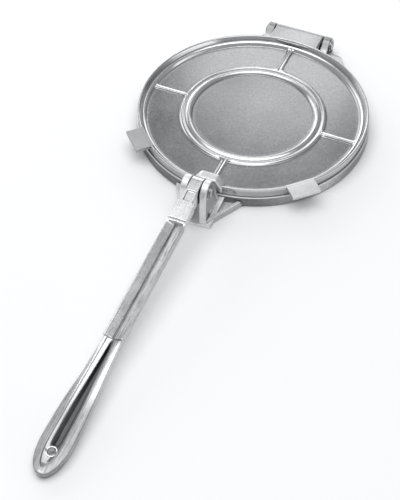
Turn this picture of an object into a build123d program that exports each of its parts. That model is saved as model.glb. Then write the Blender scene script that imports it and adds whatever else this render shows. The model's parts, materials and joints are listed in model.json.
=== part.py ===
"""Cast-aluminium hand press: two round plates hinged at the rear, and a long front lever.

Millimetres, +Z up. The origin is the centre of the base plate's underside. The lever is at
-Y, the rear hinge at +Y, and both hinge pins lie along X. At rest the top plate is closed and
the lever is swung out to the front, where its grip lies on the table.
"""
import os
from math import acos, asin, atan2, cos, degrees, hypot, pi, sin

from build123d import *

os.makedirs("parts", exist_ok=True)

# Plates
plate_radius = 100.0          # top plate, outer edge of its upstanding lip
stack_height = 18.5           # table to the top of that lip
press_gap = 0.3               # between the two pressing faces when closed

# Base plate
base_overhang = 1.0           # beyond the top plate's edge
base_lip_height = 9.8
base_lip_width = 1.7
base_recess = 2.0             # from the top of the locating lip down to the pressing face
base_floor_thickness = 3.2
base_wall = 4.0
base_edge_round = 1.2         # chamfer round the foot
base_lip_bevel = 0.8          # height of the bevel on the locating lip
base_lip_bevel_width = 0.6
base_rib_width = 3.2
base_rib_clearance = 0.9      # the ribs underneath stop short of the table
base_ring_radius = 56.0
base_foot_radius = 9.0

# Top plate, heights below the top of its lip
lip_width = 2.0
lip_edge = 1.0                # rounding of the lip's outer edge
lip_slope = 0.2               # the lip's top falls this much to its inner edge
bead_inset = 4.9              # from the plate's edge in to the bead
bead_width = 1.8
bead_drop = 4.2
bead_rise = 0.35
bead_foot_width = 0.4         # where the lip's inner wall meets the bead
bead_foot_rise = 0.6
panel_inset = 9.2
panel_drop = 7.5
panel_slope_width = 1.8       # the panel's edge curves up over this width
panel_slope_rise = 0.9
panel_break_width = 1.0
panel_break_rise = 0.2
lid_side_gap = 0.9            # between the lid's foot and the base's locating lip
lid_foot_bevel = 0.8
lid_lip_gap = 0.4             # the lid widens from this far above the locating lip
ring_inner_radius = 56.2
ring_spacing = 5.0            # between the ring's two ridges
ridge_width = 3.4
ridge_round = 0.25
ridge_step = 0.4              # the inner ridge stands this much higher
ridge_dip = 0.7               # between the two ridges
ridge_foot = 0.8
ring_drop = 6.0
disc_inset = 3.4              # from the inner ridge in to the sunk disc
disc_drop = 8.2
disc_slope_width = 0.7
disc_slope_rise = 0.5
spoke_width = 3.8
spoke_drop = 6.0
spoke_groove = 0.5
spoke_groove_half = 0.9
spoke_edge = 0.5
spoke_overrun = 2.5           # past the panel, up its curved edge

# Lifting tabs, front left and front right
tab_projection = 12.0         # beyond the plate's edge
tab_width = 25.0
tab_thickness = 3.2
tab_overlap = 1.3             # under the lip, short of the bead
tab_corner_round = 1.5
tab_edge_round = 0.7
tab_angle = 45.0              # from the line through the lever

# Pins, both of the same rod
pin_radius = 3.0
pin_seat_gap = 0.03           # in the fixed lugs
pin_running_gap = 0.08        # in the part that turns
pin_head_radius = 5.0
pin_head_height = 1.8
pin_head_edge = 0.4           # straight part of the head's side
rivet_radius = 4.2            # the end peened over its washer
rivet_height = 1.4
washer_radius = 5.6
washer_thickness = 1.0
washer_gap = 0.1
head_room = 0.8               # clear space round a head or washer set into the flange
head_pocket = 5.0

# Rear hinge
hinge_offset = 14.5           # from the base's edge back to the hinge pin
hinge_z = 10.5
barrel_radius = 7.0
tongue_half_width = 23.0
tongue_root_inset = 12.0      # from the plate's edge in to the tongue's buried end
tongue_side_gap = 1.0
tongue_lip_gap = 0.6
tongue_foot_gap = 0.2
lug_thickness = 6.2
lug_foot = 8.0                # height of the lugs where they meet the plate
rear_flange_height = 8.2
flange_overlap = 20.0         # how far the flange runs into the plate
rear_floor_height = 2.8
rear_wing_root = 51.0         # where the wing on the +X side leaves the plate
rear_wing_inset = 5.0         # the wing's widest point, inside the base's edge
rear_wing_shoulder = 44.0
rear_shoulder_offset = 8.5    # the wing's shoulder, in front of the pin
rear_neck_offset = 6.5        # the step beside the lug, in front of the pin
rear_web_root = 40.0          # where the plain web on the -X side leaves the plate
rear_flange_margin = 6.5      # beyond the pin
rear_flange_step = 2.0        # beyond the lug on the wing's side
rear_slot_length = 40.0       # the tongue's slot, cut right out through the flange
rear_wing_round = 5.0
rear_flange_round = 0.8

# Lever bracket on the base
pivot_offset = 20.5           # from the base's edge out to the lever's pin
pivot_z = 33.0
boss_radius = 9.0
ear_inner = 5.6
ear_thickness = 5.8
ear_rear_offset = 2.4         # rear foot of the ears, from the base's edge
ear_rear_z = 10.5
ear_edge_round = 0.9
ear_panel_border = 2.2        # left round the shallow panel on each ear's outer side
ear_panel_depth = 0.9
ear_boss_margin = 1.0         # flat left round the washer
bracket_floor = 3.0
bracket_bow = 1.6             # how far the front edge bows out between the ears
bracket_root = 30.5           # half width where the bracket leaves the plate
bracket_overlap = 6.0         # how far the bracket runs into the plate
bracket_rib_width = 2.6
bracket_rib_height = 6.2
ear_rib_width = 4.4
ear_rib_inset = 2.0           # the sloping rib's rear end, inside the base's edge
ear_rib_drop = 1.5            # and below the top of the locating lip
ear_foot_drop = 1.0           # the ears' low feet, below the top of the locating lip
buried = 0.5                  # overlap where one form is cast onto another

# Lever
knuckle_gap = 0.6             # each side, to the ears
knuckle_radius = 8.8
neck_start = 22.0
neck_end = 38.0
neck_half_width = 7.6
neck_end_height = 6.6
lever_back = 5.6              # depth of the lever's back below its axis
lever_edge_round = 0.8
pad_centre = 15.0             # sunk panel in the top of the knuckle, from the pivot
pad_width = 6.0
pad_length = 10.0
pad_depth = 0.8
shaft_half_width = 7.8
shaft_rim = 4.8
shaft_back_round = 2.4
shaft_wall = 1.8
channel_depth = 3.9           # below the shaft's rim
channel_floor_half = 0.9      # half width of the groove's floor
channel_wall = 2.0            # solid left between the neck and the channel
grip_start = 155.0
grip_root_inset = 0.3         # the grip starts this much inside the shaft's side
grip_half_width = 12.4
grip_widest_inset = 29.0      # widest point, from the end of the grip
grip_end = 273.0
grip_rim = 3.2
grip_wall = 2.6
grip_back_round = 3.6
grip_floor = 2.6              # wall left under the hollow
grip_band = 3.6               # flat rim round the hollow
dish_half_width = 5.6         # lower edge of the shallow dish inside the rim
dish_drop = 1.7
dish_start = 4.0              # from the grip's start to the dish's lower edge
dish_setback = 8.0            # its widest point, before the grip's
dish_inset = 11.0             # its far end, from the end of the grip
valley_half_width = 2.0       # floor of the deeper valley in the dish
valley_setback = 10.4
hole_radius = 3.1
hole_inset = 19.0             # hole centre from the end of the grip
hole_boss_radius = 5.6
hole_boss_height = 0.6

# Nose on the top plate's front edge, which the lever bears on
nose_half_width = 7.5         # across its flat top
nose_flare = 5.5              # how far each sloping flank runs out
nose_overhang = 1.5           # in front of the plate's edge
nose_length = 8.5
nose_bottom = 12.5
nose_flank_foot = 17.5
nose_gap = 0.4
nose_round = 1.4

# Places that follow from the sizes above
base_radius = plate_radius + base_overhang
bead_radius = plate_radius - bead_inset
panel_radius = plate_radius - panel_inset
ring_outer_radius = ring_inner_radius + ring_spacing
disc_radius = ring_inner_radius - disc_inset
hinge_y = base_radius + hinge_offset
rear_wing_y = base_radius - rear_wing_inset
rear_shoulder_y = hinge_y - rear_shoulder_offset
pivot_y = -base_radius - pivot_offset
ear_rear_y = -base_radius - ear_rear_offset
nose_front = -plate_radius - nose_overhang
tongue_root_y = plate_radius - tongue_root_inset
press_face_z = base_lip_height - base_recess
lid_bottom = press_face_z + press_gap
panel_z = stack_height - panel_drop
disc_z = stack_height - disc_drop
ring_z = stack_height - ring_drop
bead_z = stack_height - bead_drop
ear_outer = ear_inner + ear_thickness
bracket_front = pivot_y - boss_radius
bracket_inside_y = -base_radius + bracket_overlap
lip_inner = base_radius - base_lip_width
foot_radius = lip_inner - lid_side_gap
lug_inner = tongue_half_width + tongue_side_gap
rear_lug_outer = lug_inner + lug_thickness
flange_inside_y = base_radius - flange_overlap
knuckle_end = neck_start + buried
grip_widest = grip_end - grip_widest_inset
channel_half_width = shaft_half_width - shaft_wall
channel_end = grip_start + 4 * grip_wall     # past the grip's end wall, into its hollow

# The lever's own frame: x across, y back towards the plates, z out of its hollow side
tip_contact = grip_end - 2 * grip_back_round
lever_droop = asin(pivot_z / hypot(tip_contact, lever_back)) - atan2(lever_back, tip_contact)
lever_frame = Plane(
    origin=(0, pivot_y, pivot_z),
    x_dir=(1, 0, 0),
    z_dir=(0, -sin(lever_droop), cos(lever_droop)),
)
lever_up = Axis(lever_frame.origin, lever_frame.z_dir)
lever_side = Plane(
    origin=(0, pivot_y, pivot_z),
    x_dir=(0, -cos(lever_droop), -sin(lever_droop)),
    z_dir=(-1, 0, 0),
)


def bearing_height(distance):
    """Height of the neck's flat face above the lever's axis, this far from the pivot."""
    return knuckle_radius + (neck_end_height - knuckle_radius) * distance / neck_end


nose_top = pivot_z - bearing_height(nose_front - pivot_y) - nose_gap
bearing_tilt = lever_droop + atan2(knuckle_radius - neck_end_height, neck_end)
pad_plane = Plane(
    origin=lever_frame.from_local_coords((0, -pad_centre, bearing_height(pad_centre))),
    x_dir=(1, 0, 0),
    z_dir=(0, -sin(bearing_tilt), cos(bearing_tilt)),
)


def lug_outline(axis, radius, foot, away):
    """Side view of a lug: upright on its outer side, round over the pin, sloping to its foot.

    axis and foot are (y, z) points, and away is the side the upright edge faces, -1 or 1.
    """
    axis_y, axis_z = axis
    foot_y, foot_z = foot
    start = pi / 2 - away * pi / 2
    reach = hypot(foot_y - axis_y, foot_z - axis_z)
    finish = atan2(foot_z - axis_z, foot_y - axis_y) % (2 * pi) if away > 0 else atan2(
        foot_z - axis_z, foot_y - axis_y
    )
    finish = finish - away * acos(radius / reach)
    middle = (start + finish) / 2
    points = [
        (axis_y + radius * cos(angle), axis_z + radius * sin(angle))
        for angle in (start, middle, finish)
    ]
    ThreePointArc(*points)
    Polyline(points[2], foot, (foot_y, 0), (axis_y + away * radius, 0), points[0])


# One ear of the front bracket, a lug with softened edges, built on the +X side
with BuildPart() as ear:
    with BuildSketch(Plane.YZ.offset(ear_inner)):
        with BuildLine():
            lug_outline((pivot_y, pivot_z), boss_radius, (ear_rear_y, ear_rear_z), -1)
        make_face()
    extrude(amount=ear_thickness)
    ear_rims = ear.edges().filter_by(Axis.X, reverse=True).filter_by(Axis.Y, reverse=True)
    fillet(ear_rims, radius=ear_edge_round)
    # Shallow panel sunk in the outer side, below the pin's boss
    with BuildSketch(Plane.YZ.offset(ear_outer), mode=Mode.PRIVATE) as ear_panel:
        with BuildLine():
            lug_outline((pivot_y, pivot_z), boss_radius, (ear_rear_y, ear_rear_z), -1)
        make_face()
        offset(amount=-ear_panel_border, mode=Mode.REPLACE)
        with Locations((pivot_y, pivot_z)):
            Circle(washer_radius + ear_boss_margin, mode=Mode.SUBTRACT)
    lower_panel = ear_panel.sketch.faces().sort_by(Axis.Z)[0]
    extrude(lower_panel, amount=-ear_panel_depth, mode=Mode.SUBTRACT)
    with BuildSketch(Plane.YZ.offset(ear_inner)):
        with Locations((pivot_y, 0)):
            Rectangle(
                ear_rear_y - pivot_y, base_lip_height - ear_foot_drop, align=(Align.MIN, Align.MIN)
            )
            Rectangle(
                bracket_inside_y - pivot_y, press_face_z, align=(Align.MIN, Align.MIN)
            )
    extrude(amount=ear_thickness)
    # Sloping rib along the ear's foot
    ear_rib_end = -base_radius + ear_rib_inset
    with BuildSketch(Plane.YZ.offset(ear_outer - buried)):
        with BuildLine():
            Polyline(
                (bracket_front, 0),
                (bracket_front, bracket_floor),
                (ear_rib_end, base_lip_height - ear_rib_drop),
                (ear_rib_end, 0),
                (bracket_front, 0),
            )
        make_face()
    extrude(amount=ear_rib_width)

# Rear flange, with a rounded wing on one side and a plain web on the other
with BuildPart() as rear_flange:
    with BuildSketch() as rear_plan:
        with BuildLine():
            Polyline(
                (-rear_web_root, flange_inside_y),
                (-rear_lug_outer, hinge_y + rear_flange_margin),
                (rear_lug_outer + rear_flange_step, hinge_y + rear_flange_margin),
                (rear_lug_outer + rear_flange_step, hinge_y - rear_neck_offset),
                (rear_wing_shoulder, rear_shoulder_y),
                (rear_wing_root, rear_wing_y),
                (rear_wing_root, flange_inside_y),
                (-rear_web_root, flange_inside_y),
            )
        make_face()
        rounded_corners = rear_plan.vertices().sort_by(Axis.Y)[2:].sort_by(Axis.X)[1:]
        fillet(rounded_corners, radius=rear_wing_round)
    extrude(amount=rear_flange_height)
    flange_rim = rear_flange.faces().sort_by(Axis.Z)[-1].edges().sort_by(Axis.Y)[1:]
    fillet(flange_rim, radius=rear_flange_round)

# Base plate: a round casting with a locating lip, ribs underneath, and the two brackets
with BuildPart() as base_plate:
    with BuildSketch(Plane.XZ):
        with BuildLine():
            Polyline(
                (0, 0),
                (base_radius - base_edge_round, 0),
                (base_radius, base_edge_round),
                (base_radius, base_lip_height - base_lip_bevel),
                (base_radius - base_lip_bevel_width, base_lip_height),
                (0, base_lip_height),
                (0, 0),
            )
        make_face()
    revolve(axis=Axis.Z)
    # Front bracket: a tapered floor with raised side ribs and a bowed front edge
    with BuildSketch() as bracket_plan:
        with BuildLine():
            Polyline(
                (-ear_outer, bracket_front),
                (-bracket_root, bracket_inside_y),
                (bracket_root, bracket_inside_y),
                (ear_outer, bracket_front),
            )
            ThreePointArc(
                (ear_outer, bracket_front),
                (0, bracket_front - bracket_bow),
                (-ear_outer, bracket_front),
            )
        make_face()
    extrude(amount=bracket_floor)
    with BuildSketch():
        add(bracket_plan.sketch)
        offset(bracket_plan.sketch, amount=-bracket_rib_width, mode=Mode.SUBTRACT)
        with Locations((0, bracket_front)):
            Rectangle(2 * ear_outer, 2 * boss_radius, mode=Mode.SUBTRACT)
        with Locations((0, bracket_inside_y)):
            Rectangle(2 * bracket_root, bracket_overlap, mode=Mode.SUBTRACT)
    extrude(amount=bracket_rib_height)
    add(ear.part)
    mirror(ear.part, about=Plane.YZ)
    # Rear flange, and the two hinge lugs
    add(rear_flange.part)
    with BuildSketch(Plane.XY.offset(rear_floor_height)):
        with Locations((0, base_radius)):
            Rectangle(2 * lug_inner, rear_slot_length, align=(Align.CENTER, Align.MIN))
    extrude(amount=rear_flange_height, mode=Mode.SUBTRACT)
    for side in (-1, 1):
        with BuildSketch(Plane.YZ.offset(side * lug_inner)):
            with BuildLine():
                lug_outline((hinge_y, hinge_z), barrel_radius, (base_radius, lug_foot), 1)
            make_face()
        extrude(amount=side * lug_thickness)
        # Room for the pin's head and washer beside the lug
        with BuildSketch(Plane.XY.offset(hinge_z - washer_radius - head_room)):
            with Locations((side * (lug_inner + lug_thickness + head_pocket / 2), hinge_y)):
                Rectangle(head_pocket, 2 * (washer_radius + head_room))
        extrude(amount=barrel_radius, mode=Mode.SUBTRACT)
    # The locating lip and pressing face, cut last so that the brackets stop at the lip
    with BuildSketch(Plane.XY.offset(press_face_z)):
        Circle(lip_inner)
    extrude(amount=pivot_z + boss_radius, mode=Mode.SUBTRACT)
    # Hollow underside, with ribs and a stiffening ring that stop short of the table
    with BuildSketch():
        Circle(base_radius - base_wall)
    extrude(amount=press_face_z - base_floor_thickness, mode=Mode.SUBTRACT)
    with BuildSketch(Plane.XY.offset(base_rib_clearance)):
        Circle(base_ring_radius)
        Circle(base_ring_radius - base_rib_width, mode=Mode.SUBTRACT)
        with PolarLocations(0, 4):
            Rectangle(base_radius - base_wall / 2, base_rib_width, align=(Align.MIN, Align.CENTER))
    extrude(amount=press_face_z - base_floor_thickness - base_rib_clearance)
    # Round foot where the ribs cross, level with the wall
    with BuildSketch():
        Circle(base_foot_radius)
    extrude(amount=press_face_z - base_floor_thickness)
    # Bores for the pins
    with BuildSketch(Plane.YZ):
        with Locations((pivot_y, pivot_z), (hinge_y, hinge_z)):
            Circle(pin_radius + pin_seat_gap)
    extrude(amount=base_radius, both=True, mode=Mode.SUBTRACT)
base_plate.part.label = "base_plate"
export_step(base_plate.part, "parts/base_plate.step")

# Top plate: lip, bead, sunk panel, raised ring and sunk disc, with four spokes
with BuildPart() as spoke:
    spoke_start = ring_outer_radius
    spoke_end = panel_radius + spoke_overrun
    half = spoke_width / 2
    spoke_top = stack_height - spoke_drop
    with BuildSketch(Plane.YZ.offset(spoke_start)):
        with BuildLine():
            Polyline(
                (-half, panel_z - buried),
                (-half, spoke_top - spoke_edge),
                (-half + spoke_edge, spoke_top),
                (-spoke_groove_half, spoke_top),
                (0, spoke_top - spoke_groove),
                (spoke_groove_half, spoke_top),
                (half - spoke_edge, spoke_top),
                (half, spoke_top - spoke_edge),
                (half, panel_z - buried),
                (-half, panel_z - buried),
            )
        make_face()
    extrude(amount=spoke_end - spoke_start)

with BuildPart() as lifting_tab:
    tab_root = bead_radius + tab_overlap
    with BuildSketch(Plane.XY.offset(stack_height - tab_thickness)):
        with Locations((tab_root, 0)):
            Rectangle(
                plate_radius + tab_projection - tab_root,
                tab_width,
                align=(Align.MIN, Align.CENTER),
            )
    extrude(amount=tab_thickness)
    outer_corners = lifting_tab.edges().filter_by(Axis.Z).group_by(Axis.X)[-1]
    fillet(outer_corners, radius=tab_corner_round)
    end_edges = lifting_tab.faces().sort_by(Axis.X)[-1].edges().filter_by(Axis.Y)
    fillet(end_edges, radius=tab_edge_round)

with BuildPart() as nose:
    with BuildSketch(Plane.XZ.offset(-nose_front)):
        with BuildLine():
            Polyline(
                (0, nose_bottom),
                (nose_half_width + nose_flare, nose_bottom),
                (nose_half_width + nose_flare, nose_flank_foot),
                (nose_half_width, nose_top),
                (0, nose_top),
            )
            mirror(about=Plane.YZ)
        make_face()
    extrude(amount=-nose_length)
    fillet(nose.faces().sort_by(Axis.Z)[-1].edges(), radius=nose_round)

with BuildPart() as tongue:
    with BuildSketch(Plane.YZ.offset(-tongue_half_width)):
        with Locations((hinge_y, hinge_z)):
            Circle(barrel_radius)
        with BuildLine():
            Polyline(
                (tongue_root_y, base_lip_height + tongue_lip_gap),
                (hinge_y, base_lip_height + tongue_lip_gap),
                (hinge_y, hinge_z + barrel_radius),
                (tongue_root_y, hinge_z + barrel_radius),
                (tongue_root_y, base_lip_height + tongue_lip_gap),
            )
        make_face()
    extrude(amount=2 * tongue_half_width)
    with BuildSketch():
        Circle(foot_radius + tongue_foot_gap)
    extrude(amount=stack_height, mode=Mode.SUBTRACT)

with BuildPart() as top_plate:
    with BuildSketch(Plane.XZ):
        with BuildLine():
            inner_ridge_z = ring_z + ridge_step
            Polyline(
                (0, lid_bottom),
                (foot_radius - lid_foot_bevel, lid_bottom),
                (foot_radius, lid_bottom + lid_foot_bevel),
                (foot_radius, base_lip_height + lid_lip_gap),
                (plate_radius, stack_height - lip_edge),
                (plate_radius - 0.3 * lip_edge, stack_height - 0.3 * lip_edge),
                (plate_radius - lip_edge, stack_height),
                (plate_radius - lip_width, stack_height - lip_slope),
                (bead_radius + bead_width / 2 + bead_foot_width, bead_z + bead_foot_rise),
                (bead_radius + bead_width / 2, bead_z),
                (bead_radius + bead_width / 4, bead_z + bead_rise),
                (bead_radius - bead_width / 4, bead_z + bead_rise),
                (bead_radius - bead_width / 2, bead_z),
                (panel_radius + panel_slope_width, panel_z + panel_slope_rise),
                (panel_radius + panel_break_width, panel_z + panel_break_rise),
                (panel_radius, panel_z),
                (ring_outer_radius + ridge_width / 2 + ridge_foot, panel_z),
                (ring_outer_radius + ridge_width / 4, ring_z - ridge_round),
                (ring_outer_radius, ring_z),
                (ring_outer_radius - ridge_width / 4, ring_z - ridge_round),
                (ring_inner_radius + ridge_width / 2 + ridge_foot / 2, ring_z - ridge_dip),
                (ring_inner_radius + ridge_width / 4, inner_ridge_z - ridge_round),
                (ring_inner_radius, inner_ridge_z),
                (ring_inner_radius - ridge_width / 4, inner_ridge_z - ridge_round),
                (disc_radius + disc_slope_width, disc_z + disc_slope_rise),
                (disc_radius, disc_z),
                (0, disc_z),
                (0, lid_bottom),
            )
        make_face()
    revolve(axis=Axis.Z)
    with PolarLocations(0, 4):
        add(spoke.part)
    with PolarLocations(0, 2, start_angle=-90 - tab_angle, angular_range=4 * tab_angle):
        add(lifting_tab.part)
    add(nose.part)
    add(tongue.part)
    with BuildSketch(Plane.YZ):
        with Locations((hinge_y, hinge_z)):
            Circle(pin_radius + pin_running_gap)
    extrude(amount=plate_radius, both=True, mode=Mode.SUBTRACT)
top_plate.part.label = "top_plate"
export_step(top_plate.part, "parts/top_plate.step")


# Lever: knuckle and flat neck, channel shaft, and a leaf-shaped hollow grip
def leaf_outline(root_half, start, widest_half, widest, end):
    """A leaf along the lever: straight across its root, widest near its far end, and round there."""
    Line((0, -start), (root_half, -start))
    Spline(
        (root_half, -start),
        (widest_half, -widest),
        tangents=((widest_half - root_half, start - widest), (0, -1)),
    )
    EllipticalCenterArc((0, -widest), widest_half, end - widest, start_angle=-90, arc_size=90)
    mirror(about=Plane.YZ)


with BuildPart() as hollow:
    with BuildSketch(lever_frame.offset(grip_rim)):
        with BuildLine():
            leaf_outline(
                shaft_half_width - grip_wall,
                grip_start + grip_wall,
                grip_half_width - grip_band,
                grip_widest,
                grip_end - grip_band,
            )
        make_face()
    with BuildSketch(lever_frame.offset(grip_rim - dish_drop)):
        with BuildLine():
            leaf_outline(
                dish_half_width / 2,
                grip_start + dish_start,
                dish_half_width,
                grip_widest - dish_setback,
                grip_end - dish_inset,
            )
        make_face()
    with BuildSketch(lever_frame.offset(-lever_back + grip_floor)):
        with BuildLine():
            leaf_outline(
                valley_half_width / 2,
                grip_start + 2 * grip_wall,
                valley_half_width,
                grip_widest - valley_setback,
                grip_end - hole_inset - hole_boss_radius,
            )
        make_face()
    loft(ruled=True)

with BuildPart() as shaft:
    with BuildSketch(lever_frame.offset(-lever_back)):
        with Locations((0, -neck_end)):
            Rectangle(
                2 * shaft_half_width, grip_start - neck_end, align=(Align.CENTER, Align.MAX)
            )
    extrude(amount=lever_back + shaft_rim)
    fillet(shaft.faces().sort_by(lever_up)[-1].edges(), radius=lever_edge_round)
    fillet(shaft.faces().sort_by(lever_up)[0].edges(), radius=shaft_back_round)

with BuildPart() as neck:
    with BuildSketch(lever_side):
        with BuildLine():
            Polyline(
                (neck_start, bearing_height(neck_start)),
                (neck_end + channel_wall, neck_end_height),
                (neck_end + channel_wall, -lever_back),
                (neck_start, -lever_back),
                (neck_start, bearing_height(neck_start)),
            )
        make_face()
    extrude(amount=neck_half_width, both=True)
    fillet(neck.edges().filter_by(Axis.X, reverse=True), radius=lever_edge_round)

with BuildPart() as lever:
    with BuildSketch(lever_frame.offset(-lever_back)):
        with BuildLine():
            leaf_outline(
                shaft_half_width - grip_root_inset, grip_start, grip_half_width, grip_widest, grip_end
            )
        make_face()
    extrude(amount=lever_back + grip_rim)
    grip_back_edges = lever.faces().sort_by(lever_up)[0].edges().sort_by(Axis.Y)[:-1]
    fillet(grip_back_edges, radius=grip_back_round)
    add(hollow.part, mode=Mode.SUBTRACT)
    # Shaft, an open channel with rims a little higher than the grip's
    add(shaft.part)
    with BuildSketch(lever_frame.offset(shaft_rim)):
        with Locations((0, -neck_end - channel_wall)):
            Rectangle(
                2 * channel_half_width,
                channel_end - neck_end - channel_wall,
                align=(Align.CENTER, Align.MAX),
            )
    channel_slope = atan2(channel_half_width - channel_floor_half, channel_depth)
    extrude(amount=-channel_depth, taper=degrees(channel_slope), mode=Mode.SUBTRACT)
    # Neck, flat on the side that bears on the nose
    add(neck.part)
    # Knuckle on the pin, narrower so that it turns between the ears
    with BuildSketch(lever_side):
        with BuildLine():
            ThreePointArc((0, -knuckle_radius), (-knuckle_radius, 0), (0, knuckle_radius))
            Polyline(
                (0, knuckle_radius),
                (knuckle_end, bearing_height(knuckle_end)),
                (knuckle_end, -lever_back),
                (0, -knuckle_radius),
            )
        make_face()
    extrude(amount=ear_inner - knuckle_gap, both=True)
    # Panel sunk in the top of the knuckle, square to the face that bears on the nose
    with BuildSketch(pad_plane):
        Rectangle(pad_width, pad_length)
    extrude(amount=-pad_depth, mode=Mode.SUBTRACT)
    with BuildSketch(lever_side):
        Circle(pin_radius + pin_running_gap)
    extrude(amount=boss_radius, both=True, mode=Mode.SUBTRACT)
    # Hanging hole in a raised eye
    with BuildSketch(lever_frame.offset(-lever_back + grip_floor / 2)):
        with Locations((0, hole_inset - grip_end)):
            Circle(hole_boss_radius)
    extrude(amount=lever_back - grip_floor / 2 + hole_boss_height)
    with BuildSketch(lever_frame):
        with Locations((0, hole_inset - grip_end)):
            Circle(hole_radius)
    extrude(amount=2 * lever_back, both=True, mode=Mode.SUBTRACT)
lever.part.label = "lever"
export_step(lever.part, "parts/lever.step")


# Pins, each a rod with a formed head and a washer under its riveted end
def pin_section(half_length):
    """Half section of a pin along x, from the head on the left to the riveted end."""
    seat = half_length + washer_gap
    rivet = seat + washer_thickness + washer_gap
    Polyline((-seat, pin_radius), (-seat, pin_head_radius))
    Line((-seat, pin_head_radius), (-seat - pin_head_edge, pin_head_radius))
    Spline(
        (-seat - pin_head_edge, pin_head_radius),
        (-seat - pin_head_height, 0),
        tangents=((-0.4, 0), (0, -1)),
    )
    Line((-seat - pin_head_height, 0), (rivet + rivet_height, 0))
    Spline(
        (rivet + rivet_height, 0),
        (rivet, rivet_radius),
        tangents=((0, 1), (-0.4, 0)),
    )
    Polyline((rivet, rivet_radius), (rivet, pin_radius), (-seat, pin_radius))


pin_places = {
    "lever_pin": (ear_outer, (0, pivot_y, pivot_z)),
    "hinge_pin": (rear_lug_outer, (0, hinge_y, hinge_z)),
}
for pin_name, (half_length, centre) in pin_places.items():
    with BuildPart() as pin:
        with BuildSketch(Plane(centre)):
            with BuildLine():
                pin_section(half_length)
            make_face()
        revolve(axis=Axis(centre, (1, 0, 0)))
    pin.part.label = pin_name
    export_step(pin.part, f"parts/{pin_name}.step")

with BuildPart() as pin_washers:
    for half_length, centre in pin_places.values():
        with BuildSketch(Plane.YZ.offset(half_length + washer_gap)):
            with Locations(centre[1:]):
                Circle(washer_radius)
                Circle(pin_radius + pin_seat_gap, mode=Mode.SUBTRACT)
        extrude(amount=washer_thickness)
pin_washers.part.label = "pin_washers"
export_step(pin_washers.part, "parts/pin_washers.step")
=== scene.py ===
"""A cast-aluminium hand press: two round plates hinged at the rear and a long front lever.

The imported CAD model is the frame. The top plate and the lever are rebuilt here as smooth
castings of the same sizes, and the base plate, the pins and the washers keep their CAD shape.
The press's sizes are in millimetres until a surface becomes a mesh, which is in metres. The
floor and the lights are in metres from the start.
"""
import json

import bmesh
import bpy
import numpy as np
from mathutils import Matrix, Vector


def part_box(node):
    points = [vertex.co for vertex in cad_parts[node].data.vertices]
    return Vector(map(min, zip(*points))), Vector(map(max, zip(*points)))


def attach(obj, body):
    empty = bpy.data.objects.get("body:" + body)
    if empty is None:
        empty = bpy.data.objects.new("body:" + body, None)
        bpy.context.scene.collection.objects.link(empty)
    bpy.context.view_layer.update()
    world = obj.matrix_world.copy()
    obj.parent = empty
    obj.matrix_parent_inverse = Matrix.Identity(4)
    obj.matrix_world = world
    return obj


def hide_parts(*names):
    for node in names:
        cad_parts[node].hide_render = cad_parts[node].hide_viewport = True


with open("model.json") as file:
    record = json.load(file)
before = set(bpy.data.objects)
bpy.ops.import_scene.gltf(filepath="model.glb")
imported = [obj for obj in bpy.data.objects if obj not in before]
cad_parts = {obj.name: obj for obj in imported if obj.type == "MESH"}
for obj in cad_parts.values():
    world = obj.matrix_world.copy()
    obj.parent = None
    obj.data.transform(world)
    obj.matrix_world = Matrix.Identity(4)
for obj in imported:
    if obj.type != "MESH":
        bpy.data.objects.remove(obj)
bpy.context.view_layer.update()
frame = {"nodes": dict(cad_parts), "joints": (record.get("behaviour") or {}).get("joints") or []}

MM = 0.001
HINGES = {joint["name"]: np.array(joint["pos_m"]) / MM for joint in frame["joints"]}
PLATE_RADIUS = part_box("top_plate")[1].x / MM
BASE_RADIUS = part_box("base_plate")[1].x / MM


# Shapes


def unit(vectors):
    """Vectors of length 1."""
    return vectors / np.maximum(np.linalg.norm(vectors, axis=-1, keepdims=True), 1e-9)


def smooth_step(value, low, high):
    """0 below low, 1 above high, and 3t^2 - 2t^3 between them."""
    t = np.clip((value - low) / (high - low), 0, 1)
    return t * t * (3 - 2 * t)


def within(value, start, full, fading, gone):
    """0 up to start, 1 from full to fading and 0 again from gone, smooth between them."""
    return smooth_step(value, start, full) * (1 - smooth_step(value, fading, gone))


def softer_of(a, b, blend):
    """The larger of a and b, with a fillet of about the given size where they cross.

    With h = 0.5 + 0.5 (a - b) / blend, kept from 0 to 1, it is b + (a - b) h + blend h (1 - h).
    """
    h = np.clip(0.5 + 0.5 * (a - b) / blend, 0, 1)
    return b + (a - b) * h + blend * h * (1 - h)


def rounded(path, cuts, steps=6):
    """A path of (..., n, 2) points with its n - 2 inner corners rounded.

    Corner P is left at A, cut before it, and joined at B, cut after it, and the round between
    them is (1 - t)^2 A + 2 t (1 - t) P + t^2 B.
    """
    path = np.asarray(path, float)
    cuts = np.asarray(cuts, float)[..., None]
    corner = path[..., 1:-1, :]
    before = corner + unit(path[..., :-2, :] - corner) * cuts
    after = corner + unit(path[..., 2:, :] - corner) * cuts
    t = np.linspace(0, 1, steps)[:, None]
    arcs = (
        (1 - t) ** 2 * before[..., None, :]
        + 2 * t * (1 - t) * corner[..., None, :]
        + t**2 * after[..., None, :]
    )
    arcs = arcs.reshape(*path.shape[:-2], -1, 2)
    return np.concatenate([path[..., :1, :], arcs, path[..., -1:, :]], axis=-2)


def rounded_loop(path, cuts):
    """The same for a closed loop of n points, each with its own cut."""
    path = np.asarray(path, float)
    closed = np.concatenate([path[-1:], path, path[:1]])
    return rounded(closed, cuts)[1:-1]


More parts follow.
